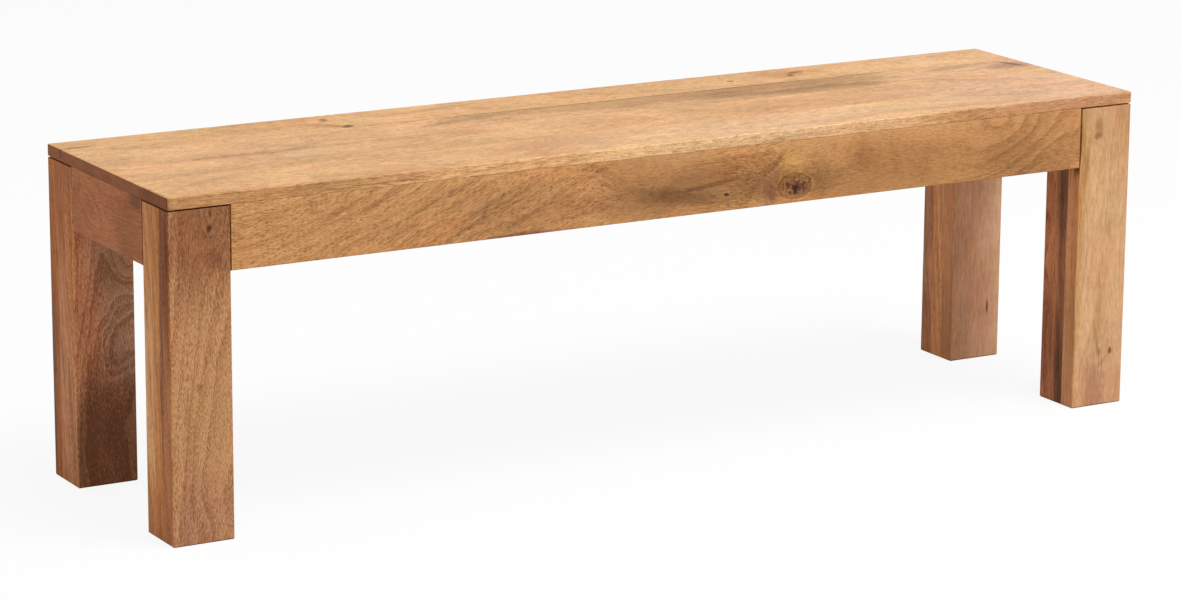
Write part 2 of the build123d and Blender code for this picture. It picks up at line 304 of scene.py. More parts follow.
def growth_rings(tree, grain, fibres, hump, pith, lean, ring_width, seed):
    """The uneven tone of the growth rings, which are distances from the pith line, and the dark line of late
    wood that ends each of them."""
    axis = Vector([1.0 if number == grain else slope for number, slope in enumerate(lean)]).normalized()
    from_pith = vector_maths(tree, "SUBTRACT", fibres, pith)
    run = vector_maths(tree, "DOT_PRODUCT", from_pith, axis)
    spoke = vector_maths(tree, "SUBTRACT", from_pith, vector_maths(tree, "SCALE", axis, run))
    radius = maths(tree, "ADD", vector_maths(tree, "LENGTH", spoke), hump)
    rings = maths(tree, "DIVIDE", radius, ring_width)
    ring_place = tree.nodes.new("ShaderNodeCombineXYZ")
    changes_along = maths(tree, "MULTIPLY", run, 3.0)
    for socket, value in zip(ring_place.inputs, (rings, changes_along, seed)):
        feed(tree, socket, value)
    ring_tone = cloud(tree, ring_place.outputs[0], detail=3.0, roughness=0.62)
    # Late wood darkens slowly across its ring and ends sharply
    ring_step = maths(tree, "FRACT", swing(tree, ring_tone, 2.6, rings))
    late_wood = maths(tree, "MULTIPLY", rise(tree, ring_step, 0.25, 0.93), rise(tree, ring_step, 1.0, 0.93))
    return ring_tone, late_wood


def open_pores(tree, grain, place, run, pitch, ring_tone, patchy):
    """Open pores are short dashes, closer together in some bands than in others."""
    distance, pick = cells(tree, drawn_out(tree, grain, place, run, pitch))
    crowd = maths(tree, "ADD", swing(tree, ring_tone, 0.8, 0.5), swing(tree, patchy, 1.2))
    chosen = rise(tree, maths(tree, "ADD", pick, crowd), 0.85, 1.35)
    return maths(tree, "MULTIPLY", rise(tree, distance, 0.46, 0.2), chosen)


def figured_places(tree, loose, figured):
    """How far a point is inside the places where the fibres come up to the face, and how much the growth
    rings show there."""
    far_away = 9.0
    nearest, ring_gain = far_away, 1.0
    for centre, reach, gain in figured:
        near = nearness(tree, loose, centre, reach)
        nearest = maths(tree, "MINIMUM", nearest, near)
        ring_gain = maths(tree, "MULTIPLY", ring_gain, rise(tree, near, 1.2, 0.7, 1.0, gain))
    return rise(tree, nearest, 1.3, 0.6), ring_gain


def toned(tree, mean, tone, hue):
    """The wood's mean colour, browner where its tone is low and creamier where it is high, with a slow drift
    of hue towards pink and towards olive."""
    stops = (
        (0.05, (0.55, 0.47, 0.4)), (0.38, (0.86, 0.83, 0.79)), (0.6, (1.06, 1.06, 1.06)),
        (0.95, (1.26, 1.33, 1.42)),
    )
    colour = ramp(tree, tone, [(position, [a * b for a, b in zip(mean, part)]) for position, part in stops])
    pinkish, olive = (1.03, 0.955, 0.91), (0.99, 1.01, 0.92)
    colour = laid_over(tree, "MULTIPLY", rise(tree, hue, 0.45, 0.7), colour, pinkish)
    return laid_over(tree, "MULTIPLY", rise(tree, hue, 0.5, 0.26), colour, olive)


def with_stains(tree, colour, mean, place, ragged, streak_tone, fibre_tone, stains):
    """The wood's colour with its stains, which follow the streaks and have ragged ends."""
    for centre, reach, turn, stain, strength, softness in stains:
        near = nearness(tree, place, centre, reach, turn)
        for noise, width in ((ragged, 1.1), (streak_tone, 0.9), (fibre_tone, 0.5)):
            near = wavering(tree, near, noise, width)
        cover = rise(tree, near, 1.0 + softness, 1.0 - softness, 0.0, strength)
        tint = [part / whole for part, whole in zip(stain, mean)]
        stained = laid_over(tree, "MULTIPLY", 1.0, colour, tint)
        colour = laid_over(tree, "MIX", cover, colour, stained)
    return colour


def with_knots(tree, colour, place, loose, ragged, knots):
    """The wood's colour with its knots, each dark and cracked at its heart, with soft rings, a thin pale
    collar and a dusky halo. The rings run from the heart to twice the knot's reach."""
    knot_rings = (
        (0.0, (0.54, 0.46, 0.44)), (0.16, (0.7, 0.63, 0.57)), (0.24, (0.8, 0.74, 0.65)),
        (0.33, (0.72, 0.66, 0.57)), (0.42, (0.82, 0.77, 0.67)), (0.48, (0.68, 0.61, 0.51)),
        (0.53, (1.16, 1.19, 1.12)), (0.62, (0.98, 0.97, 0.92)), (1.0, (1.0, 1.0, 1.0)),
    )
    crack_shade = (0.34, 0.22, 0.28)
    cracks_across = 3.4
    for centre, reach, depth in knots:
        near = wavering(tree, nearness(tree, loose, centre, reach), ragged, 0.35)
        rim = ramp(tree, maths(tree, "MULTIPLY", near, 0.5), knot_rings)
        colour = laid_over(tree, "MULTIPLY", depth, colour, rim)
        from_heart = vector_maths(tree, "SUBTRACT", place, centre)
        crack = vector_maths(tree, "SCALE", from_heart, cracks_across / min(reach))
        crack = cloud(tree, crack, detail=3.0, roughness=0.6)
        crack = maths(tree, "SUBTRACT", crack, maths(tree, "MULTIPLY", near, 0.22))
        crack = rise(tree, crack, 0.36, 0.5, 0.0, depth)
        colour = laid_over(tree, "MULTIPLY", crack, colour, crack_shade)
    return colour


def wood(
    name, grain, shade, pith, lean=(0.0, 0.0, 0.0), ring_width=0.011, ring_contrast=0.35, line_contrast=0.2,
    cloud_contrast=0.25, streak_contrast=0.35, fibre_contrast=0.6, shimmer_contrast=0.12,
    streak_run=11.0, streak_pitch=260.0, fibre_run=40.0, pore_shade=(0.34, 0.24, 0.18), pore_share=0.6,
    pore_run=105.0, pore_pitch=820.0, wander_share=1.0, climbs=(), swirls=(), waviness=0.2, figured=(),
    knots=(), stains=(), end_shade=(0.52, 0.42, 0.36), sheen=0.12, wear_and_highlight_box=None, sawn=False, seed=0.0,
):
    """Solid wood under a satin clear coat. The fibres run along the axis grain. shade is its mean colour.

    The growth rings are ring_width apart and lie round a line through pith, which slopes off the grain by
    lean. Each contrast is how much of the tone comes from the rings, their dark late wood, the clouds, the
    streaks, the fibres or the shimmer. Each run is how many streaks, fibres or pores a metre holds along the
    grain, and each pitch how many across it. Pores tint the wood by pore_shade, and pore_share is how
    strongly. End grain is tinted by end_shade. wander_share is how much the fibres wander, and sheen is the
    coat's shine.

    climbs are (start, end, push) stretches where the fibres drift aside.
    swirls are (centre, reach, turn, push) places that the rings flow round, as ragged as waviness.
    figured places are (centre, reach, ring_gain): there the fibres come up to the face.
    knots are (centre, reach, depth), where a depth of one is a full dark knot.
    stains are (centre, reach, turn, colour, strength, softness), and one of softness 1 fades from its centre.
    wear_and_highlight_box is the box whose edges are painted paler, partly as wear and partly as a painted
    highlight where they catch the light. Sawn wood shows the ridges that the saw left. Each seed gives
    another piece of wood."""
    material, tree, shader, place = new_finish(name)
    shifted = vector_maths(tree, "ADD", place, (seed, seed * 1.7, seed * 2.3))
    fibres, loose = bent_fibres(tree, grain, place, shifted, wander_share, climbs)
    hump, bulge = swellings(tree, grain, loose, shifted, waviness, swirls, knots)
    ring_tone, late_wood = growth_rings(tree, grain, fibres, hump, pith, lean, ring_width, seed)

    # Clouds about 50 mm wide, streaks of a few millimetres, fine fibres, and a shimmer across them
    aside = vector_maths(tree, "SCALE", lengthwise(grain, 0.0, 1.0), bulge)
    along_fibres = vector_maths(tree, "ADD", vector_maths(tree, "ADD", fibres, aside), (seed, seed, seed))
    cloud_run, cloud_pitch = 7.0, 20.0
    fibre_pitch = 900.0
    shimmer_run, shimmer_pitch = 75.0, 28.0
    clouds = drawn_out(tree, grain, along_fibres, cloud_run, cloud_pitch)
    clouds = cloud(tree, clouds, detail=4.0, roughness=0.55, wanted="Color")
    cloud_tone, ragged, hue = parts_of(tree, clouds)
    streaks = drawn_out(tree, grain, along_fibres, streak_run, streak_pitch)
    streaks = cloud(tree, streaks, detail=4.0, roughness=0.68, wanted="Color")
    streak_tone, speckle, patchy = parts_of(tree, streaks)
    fibre_tone = drawn_out(tree, grain, along_fibres, fibre_run, fibre_pitch)
    fibre_tone = cloud(tree, fibre_tone, detail=3.0, roughness=0.65)
    shimmer = drawn_out(tree, grain, along_fibres, shimmer_run, shimmer_pitch)
    shimmer = cloud(tree, shimmer, detail=2.0, roughness=0.6)
    pores = open_pores(tree, grain, along_fibres, pore_run, pore_pitch, ring_tone, patchy)

    # Figured places have a fine mottle, and fewer streaks, fibres and pores than the rest
    streakiness, fibriness, ring_gain = 2.0 * streak_contrast, 2.0 * fibre_contrast, 1.0
    if figured:
        mottle_run, mottle_pitch = 110.0, 330.0
        mottle = drawn_out(tree, grain, along_fibres, mottle_run, mottle_pitch)
        mottle = cloud(tree, mottle, detail=3.0, roughness=0.6)
        inside, ring_gain = figured_places(tree, loose, figured)
        streakiness = maths(tree, "MULTIPLY", streakiness, swing(tree, inside, -0.75, 0.625))
        fibriness = maths(tree, "MULTIPLY", fibriness, swing(tree, inside, -0.5, 0.75))
        pores = maths(tree, "MULTIPLY", pores, swing(tree, inside, -0.7, 0.65))
        mottling = maths(tree, "MULTIPLY", inside, 0.6)
        mottle = maths(tree, "MULTIPLY", maths(tree, "SUBTRACT", mottle, 0.5), mottling)

    # Together they make one tone, a half on average
    tone = 0.5
    for noise, contrast in (
        (ring_tone, maths(tree, "MULTIPLY", ring_gain, 2.0 * ring_contrast)),
        (cloud_tone, 2.0 * cloud_contrast), (streak_tone, streakiness), (fibre_tone, fibriness),
        (shimmer, 2.0 * shimmer_contrast),
    ):
        part = maths(tree, "MULTIPLY", maths(tree, "SUBTRACT", noise, 0.5), contrast)
        tone = maths(tree, "ADD", tone, part)
    if figured:
        tone = maths(tree, "ADD", tone, mottle)
    tone = maths(tree, "MULTIPLY_ADD", late_wood, maths(tree, "MULTIPLY", ring_gain, -line_contrast), tone)

    # Dark lines and pores darken the wood, so its own colour starts a tenth paler
    paler = 1.1
    mean = paler * Vector(shade)
    colour = toned(tree, mean, tone, hue)
    colour = with_stains(tree, colour, mean, place, ragged, streak_tone, fibre_tone, stains)
    colour = with_knots(tree, colour, place, loose, ragged, knots)
    colour = laid_over(tree, "MULTIPLY", maths(tree, "MULTIPLY", pores, pore_share), colour, pore_shade)

    # End grain drinks the finish and is darker
    normal = tree.nodes.new("ShaderNodeNewGeometry").outputs["Normal"]
    facing = maths(tree, "ABSOLUTE", vector_maths(tree, "DOT_PRODUCT", normal, lengthwise(grain, 1.0, 0.0)))
    end_grain = rise(tree, facing, 0.45, 0.85)
    colour = laid_over(tree, "MULTIPLY", end_grain, colour, end_shade)

    # The eased edges are painted paler in places: partly wear, partly a painted highlight where they catch
    # the light
    if wear_and_highlight_box:
        wear_and_highlight_shade = (1.18, 1.17, 1.16)
        rim = wavering(tree, edge_distance(tree, place, *wear_and_highlight_box), speckle, 0.006)
        wear_and_highlight = rise(tree, rim, 0.002, 0.0002, 0.0, 0.5)
        colour = laid_over(tree, "MULTIPLY", wear_and_highlight, colour, wear_and_highlight_shade)
    tree.links.new(colour, shader.inputs["Base Color"])

    # Pores are dull and sunk, and the coat over the rest is satin
    dullness = maths(tree, "MULTIPLY_ADD", pores, 0.14, swing(tree, cloud_tone, 0.14, 0.46))
    dullness = maths(tree, "MULTIPLY_ADD", end_grain, 0.12, dullness)
    relief = maths(tree, "MULTIPLY_ADD", pores, -0.8, maths(tree, "MULTIPLY", fibre_tone, 0.6))
    relief = maths(tree, "MULTIPLY_ADD", streak_tone, 0.5, relief)
    if sawn:
        ridge_run, ridge_pitch = 420.0, 9.0
        dullness = maths(tree, "ADD", dullness, 0.2)
        ridges = cloud(tree, drawn_out(tree, grain, shifted, ridge_run, ridge_pitch), detail=2.0)
        relief = maths(tree, "MULTIPLY_ADD", ridges, 1.6, relief)
    tree.links.new(dullness, shader.inputs["Roughness"])
    shader.inputs["Specular IOR Level"].default_value = sheen
    emboss(tree, shader, relief, strength=0.6, depth=0.0003)
    return material


def dress(node_name, material):
    """Gives a CAD node its finish."""
    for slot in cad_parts[node_name].material_slots:
        slot.material = material


def joined_box(names):
    """The box round several CAD nodes."""
    boxes = [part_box(name) for name in names]
    low = Vector([min(box[0][axis] for box in boxes) for axis in range(3)])
    high = Vector([max(box[1][axis] for box in boxes) for axis in range(3)])
    return low, high


grain_x, grain_y, grain_z = 0, 1, 2
seat_names = ("front_seat_board", "inner_front_seat_board", "inner_back_seat_board", "back_seat_board")
seat_box = joined_box(seat_names)
top = seat_box[1].z


def top_mark(x, y, along, across, colour, strength, softness, turn=0):
    """A stain on top of the seat, with its reach along and across the bench."""
    deep = 0.02
    return (x, y, top), (along, across, deep), (0, 0, turn), colour, strength, softness


# Places are in metres: x runs along the bench from its middle, y from front to back, z up from the floor
front_face = seat_box[0].y
edge_middle = (seat_box[0].z + top) / 2
grey_brown = (0.575, 0.32, 0.136)
dark_grey_brown = (0.45, 0.245, 0.1)
seat_boards = {
    "front_seat_board": dict(
        shade=(0.745, 0.435, 0.205), pith=(0.0, -0.13, 0.28), lean=(0, 0.03, 0.05), seed=1.3,
        climbs=((-0.2, 0.5, (0, 0.03, 0)),),
        stains=(
            top_mark(0.184, -0.14, 0.26, 0.06, (0.86, 0.55, 0.31), 0.8, 0.6),
            top_mark(0.475, -0.14, 0.12, 0.04, (0.7, 0.395, 0.18), 0.6, 0.8),
            top_mark(0.636, -0.1, 0.16, 0.11, (0.8, 0.5, 0.32), 0.8, 0.5),
            top_mark(-0.126, -0.12, 0.1, 0.03, (0.68, 0.38, 0.195), 0.6, 0.6, turn=12),
            # The edge is browner at both ends than in its middle
            ((-0.72, front_face, edge_middle), (0.36, 0.004, 0.01), level, (0.53, 0.27, 0.105), 0.9, 0.6),
            ((0.17, front_face, edge_middle), (0.31, 0.004, 0.01), level, (0.8, 0.48, 0.235), 0.85, 0.5),
            ((0.601, front_face, edge_middle), (0.3, 0.004, 0.01), level, (0.6, 0.29, 0.118), 0.95, 0.5),
            ((-0.737, -0.16, edge_middle), (0.003, 0.05, 0.02), level, (0.56, 0.29, 0.125), 0.8, 0.5),
        ),
    ),
    "inner_front_seat_board": dict(
        shade=(0.735, 0.425, 0.203), pith=(0.0, -0.03, 0.31), lean=(0, -0.02, -0.06), seed=4.2,
        swirls=(((-0.468, -0.013, top), (0.05, 0.03, 0.03), level, 0.02),),
        stains=(
            # Brown wood round a pale swirl at the left, and paler wood at the right end
            top_mark(-0.517, 0.006, 0.14, 0.01, (0.6, 0.335, 0.165), 0.7, 0.5),
            top_mark(-0.455, -0.045, 0.12, 0.045, (0.66, 0.375, 0.175), 0.55, 0.8),
            top_mark(0.319, -0.035, 0.2, 0.03, (0.67, 0.36, 0.175), 0.7, 0.6),
            top_mark(-0.468, -0.02, 0.035, 0.014, (0.86, 0.56, 0.33), 0.7, 0.5, turn=20),
            top_mark(0.625, -0.05, 0.16, 0.05, (0.84, 0.53, 0.33), 0.8, 0.5),
        ),
    ),
    "inner_back_seat_board": dict(
        shade=(0.745, 0.435, 0.215), pith=(0.0, 0.06, 0.34), lean=(0, 0.02, 0.04), seed=7.1,
        climbs=((-0.3, -0.12, (0, 0.03, 0)), (0.52, 0.66, (0, -0.02, 0))),
        stains=(
            top_mark(0.66, 0.055, 0.14, 0.05, (0.84, 0.53, 0.31), 0.7, 0.5),
            # The broad dark band right of the middle, and the grey patches near its right end
            top_mark(0.152, 0.096, 0.36, 0.05, grey_brown, 0.85, 0.4),
            top_mark(-0.177, 0.074, 0.09, 0.009, grey_brown, 0.5, 0.6, turn=14),
            top_mark(0.122, 0.099, 0.38, 0.004, dark_grey_brown, 0.8, 0.5),
            top_mark(0.346, 0.07, 0.15, 0.036, (0.58, 0.32, 0.155), 0.5, 0.4),
            top_mark(0.162, 0.045, 0.12, 0.03, (0.6, 0.335, 0.165), 0.6, 0.6),
            top_mark(0.371, 0.034, 0.1, 0.02, dark_grey_brown, 0.7, 0.35),
            top_mark(0.622, 0.079, 0.06, 0.011, grey_brown, 0.8, 0.4, turn=10),
            top_mark(0.697, 0.054, 0.036, 0.026, (0.53, 0.27, 0.155), 0.7, 0.6),
            top_mark(0.711, 0.066, 0.006, 0.02, (0.25, 0.12, 0.08), 0.8, 0.6, turn=20),
        ),
    ),
    "back_seat_board": dict(
        shade=(0.75, 0.435, 0.2), pith=(0.0, 0.16, 0.29), lean=(0, -0.03, 0.05), seed=10.0,
        swirls=(
            ((-0.348, 0.135, top), (0.035, 0.03, 0.03), level, 0.02),
            ((0.38, 0.147, top), (0.03, 0.024, 0.03), level, 0.02),
        ),
        stains=(
            top_mark(0.639, 0.14, 0.16, 0.06, (0.84, 0.515, 0.27), 0.7, 0.5),
            # The left knot with its dark hearts
            top_mark(-0.367, 0.126, 0.022, 0.012, (0.62, 0.3, 0.135), 0.8, 0.6, turn=-45),
            top_mark(-0.351, 0.16, 0.005, 0.01, (0.33, 0.165, 0.05), 0.85, 0.7, turn=-25),
            top_mark(-0.34, 0.108, 0.01, 0.006, (0.18, 0.068, 0.022), 0.95, 0.7, turn=35),
            top_mark(-0.353, 0.118, 0.016, 0.004, (0.5, 0.21, 0.09), 0.6, 0.7, turn=-40),
            # The right knot
            top_mark(0.38, 0.15, 0.05, 0.022, (0.66, 0.32, 0.135), 0.8, 0.6),
            top_mark(0.398, 0.155, 0.016, 0.006, (0.42, 0.185, 0.058), 0.9, 0.6, turn=15),
            top_mark(0.381, 0.14, 0.005, 0.012, (0.38, 0.165, 0.06), 0.9, 0.6, turn=-25),
            # A speck, a streak and the dark line at the back left corner
            top_mark(0.28, 0.14, 0.005, 0.006, (0.38, 0.195, 0.06), 0.9, 0.5, turn=-25),
            top_mark(-0.208, 0.155, 0.07, 0.008, (0.56, 0.32, 0.16), 0.6, 0.5, turn=8),
            top_mark(-0.715, 0.147, 0.03, 0.003, (0.27, 0.13, 0.06), 0.8, 0.5),
        ),
    ),
}
for seat_name, look in seat_boards.items():
    dress(seat_name, wood(
        seat_name + "_wood", grain_x, ring_width=0.013, ring_contrast=0.22, line_contrast=0.1,
        streak_contrast=0.25, fibre_contrast=0.95, fibre_run=70.0, pore_shade=(0.46, 0.3, 0.17),
        pore_run=160.0, pore_pitch=1000.0, end_shade=(0.52, 0.32, 0.26), sheen=0.2, wear_and_highlight_box=seat_box, **look,
    ))


# The front rail is one golden brown board between the front legs, under the seat's edge. Corner blocks and a
# cleat are screwed to its back. A round knot sits right of its middle, in wood that swirls round it.
golden = (0.56, 0.282, 0.112)
dark_pores = (0.39, 0.195, 0.082)


def rail_mark(x, z, along, up, colour, strength, softness, turn=0, deep=0.03):
    """A stain on the front of the front rail, with its reach along the bench and upwards."""
    return (x, front_face, z), (along, deep, up), (0, turn, 0), colour, strength, softness


# Slanting bands of dark pores at the left: (x, z, reach) of each
pore_bands = (
    (-0.514, 0.402, 0.035), (-0.443, 0.416, 0.04), (-0.376, 0.404, 0.045), (-0.412, 0.376, 0.03),
    (-0.331, 0.418, 0.03), (-0.29, 0.392, 0.045), (-0.32, 0.366, 0.04), (-0.229, 0.374, 0.04),
    (-0.25, 0.402, 0.04), (-0.179, 0.4, 0.035), (-0.129, 0.42, 0.03),
)
dress("front_rail", wood(
    "front_rail_wood", grain_x, golden, pith=(0.0, -0.02, 0.2), lean=(0, 0.04, 0.09), ring_width=0.012,
    ring_contrast=0.26, line_contrast=0.16, cloud_contrast=0.12, streak_contrast=0.12, fibre_contrast=1.0,
    shimmer_contrast=0.1, streak_run=22.0, streak_pitch=360.0, fibre_run=100.0, pore_share=0.8,
    pore_run=130.0, pore_pitch=1150.0, seed=21.0, wear_and_highlight_box=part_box("front_rail"), waviness=0.05,
    climbs=((-0.64, -0.06, (0, 0, 0.16)), (0.1, 0.6, (0, 0, -0.02))),
    swirls=(
        ((0.49, front_face, 0.414), (0.126, 0.1, 0.062), (0, -18, 0), 0.052),
        ((-0.069, front_face, 0.41), (0.06, 0.1, 0.035), level, 0.025),
    ),
    figured=(
        ((0.319, front_face, 0.39), (0.17, 0.1, 0.1), 0.25),
        ((0.563, front_face, 0.39), (0.12, 0.1, 0.1), 1.25),
        ((-0.018, front_face, 0.39), (0.09, 0.1, 0.1), 0.5),
    ),
    knots=(((0.183, front_face, 0.372), (0.025, 0.05, 0.02), 1.0),),
    stains=(
        *(rail_mark(x, z, reach, 0.003, dark_pores, 0.6, 0.9, turn=-25, deep=0.02)
          for x, z, reach in pore_bands),
        # The rail is paler under the seat and browner low down, most of all left of the knot
        rail_mark(0.011, 0.437, 0.7, 0.012, (0.65, 0.345, 0.142), 0.9, 0.6),
        rail_mark(-0.239, 0.38, 0.09, 0.03, (0.49, 0.24, 0.095), 0.8, 0.6),
        rail_mark(0.417, 0.378, 0.2, 0.03, (0.51, 0.25, 0.095), 0.8, 0.6),
        rail_mark(0.534, 0.378, 0.05, 0.03, (0.47, 0.225, 0.085), 0.8, 0.6, turn=-25),
        rail_mark(0.042, 0.382, 0.16, 0.026, (0.43, 0.21, 0.082), 0.9, 0.5),
        rail_mark(0.002, 0.374, 0.07, 0.012, (0.33, 0.158, 0.066), 0.8, 0.6, turn=8),
        rail_mark(0.042, 0.386, 0.04, 0.003, (0.32, 0.155, 0.064), 0.8, 0.6, turn=-6),
        # The knot: its surround, pale cap, a dark dash, its pale ring, two dark hearts and a speck
        rail_mark(0.171, 0.38, 0.08, 0.02, (0.47, 0.23, 0.092), 0.8, 0.6),
        rail_mark(0.176, 0.402, 0.022, 0.012, (0.7, 0.375, 0.128), 0.95, 0.6, turn=12),
        rail_mark(0.152, 0.408, 0.014, 0.0035, (0.36, 0.165, 0.07), 0.8, 0.6, turn=-50),
        rail_mark(0.183, 0.371, 0.021, 0.016, (0.66, 0.35, 0.158), 0.85, 0.3),
        rail_mark(0.182, 0.369, 0.006, 0.0085, (0.28, 0.135, 0.085), 0.85, 0.5),
        rail_mark(0.195, 0.368, 0.0055, 0.0055, (0.32, 0.135, 0.085), 0.8, 0.5),
        rail_mark(0.2035, 0.3785, 0.0022, 0.0018, (0.26, 0.11, 0.065), 0.9, 0.5),
        # Brown wood on both sides of the knot
        rail_mark(0.142, 0.367, 0.01, 0.014, (0.45, 0.207, 0.112), 0.75, 0.6),
        rail_mark(0.216, 0.385, 0.014, 0.03, (0.5, 0.247, 0.098), 0.75, 0.6),
        rail_mark(0.289, 0.403, 0.02, 0.018, (0.46, 0.22, 0.088), 0.7, 0.7),
        rail_mark(0.309, 0.38, 0.11, 0.04, (0.51, 0.255, 0.098), 0.85, 0.7),
        rail_mark(-0.048, 0.39, 0.1, 0.045, (0.51, 0.255, 0.102), 0.85, 0.7),
        # A dark line on the lower edge, and a nick
        rail_mark(-0.239, 0.35, 0.06, 0.003, (0.38, 0.165, 0.09), 0.8, 0.5),
        rail_mark(0.072, 0.371, 0.005, 0.0016, (0.09, 0.045, 0.03), 1.0, 0.3, turn=10),
    ),
))


# The back rail and the end rails are boards like the front rail, fixed in the same way. The left end rail is
# the reddest, and the back rail has a small knot.
back_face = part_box("back_rail")[1].y
dress("back_rail", wood(
    "back_rail_wood", grain_x, golden, pith=(0.0, 0.06, 0.3), lean=(0, -0.03, 0.07), ring_width=0.012,
    streak_contrast=0.32, fibre_contrast=0.8, seed=27.0, wear_and_highlight_box=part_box("back_rail"),
    climbs=((-0.2, 0.5, (0, 0, 0.08)),), knots=(((-0.31, back_face, 0.4), (0.024, 0.05, 0.019), 0.9),),
    stains=(((0.25, back_face, 0.38), (0.2, 0.03, 0.025), level, (0.42, 0.21, 0.09), 0.7, 0.5),),
))
left_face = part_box("left_end_rail")[0].x


def side_mark(face, y, z, across, up, colour, strength, softness, turn=0, deep=0.02):
    """A stain on a face that looks left, with its reach from front to back and upwards."""
    return (face, y, z), (deep, across, up), (turn, 0, 0), colour, strength, softness


dress("left_end_rail", wood(
    "left_end_rail_wood", grain_y, (0.612, 0.222, 0.091), pith=(-0.6, 0.0, 0.42), lean=(0.05, 0, 0.06),
    ring_width=0.014, ring_contrast=0.3, line_contrast=0.12, streak_contrast=0.25, seed=33.0,
    pore_shade=(0.62, 0.5, 0.44), pore_share=0.4, streak_pitch=420.0, wear_and_highlight_box=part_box("left_end_rail"),
    swirls=(((left_face, 0.05, 0.395), (0.05, 0.045, 0.018), (24, 0, 0), 0.025),),
    stains=(
        side_mark(left_face, -0.07, 0.4, 0.05, 0.06, (0.5, 0.175, 0.06), 0.8, 0.6),
        side_mark(left_face, -0.095, 0.427, 0.022, 0.01, (0.25, 0.1, 0.038), 0.75, 0.5),
        side_mark(left_face, 0.09, 0.39, 0.04, 0.04, (0.63, 0.235, 0.085), 0.7, 0.5),
    ),
))
dress("right_end_rail", wood(
    "right_end_rail_wood", grain_y, golden, pith=(0.6, 0.0, 0.34), lean=(0.05, 0, 0.06),
    ring_width=0.013, seed=39.0, wear_and_highlight_box=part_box("right_end_rail"),
))


# Each leg is three staves glued side by side from front to back, so its ends show two glue lines and its
# side faces three bands of wood of different colour. Two hanger bolts pull it against its corner block.
right_leg_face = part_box("front_right_leg_outer_stave")[0].x
back_leg_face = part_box("back_left_leg_inner_stave")[0].y


def front_mark(face, x, z, across, up, colour, strength, softness, turn=0, deep=0.02):
    """A stain on a face that looks forwards, with its reach across the leg and upwards."""
    return (x, face, z), (across, deep, up), (0, turn, 0), colour, strength, softness


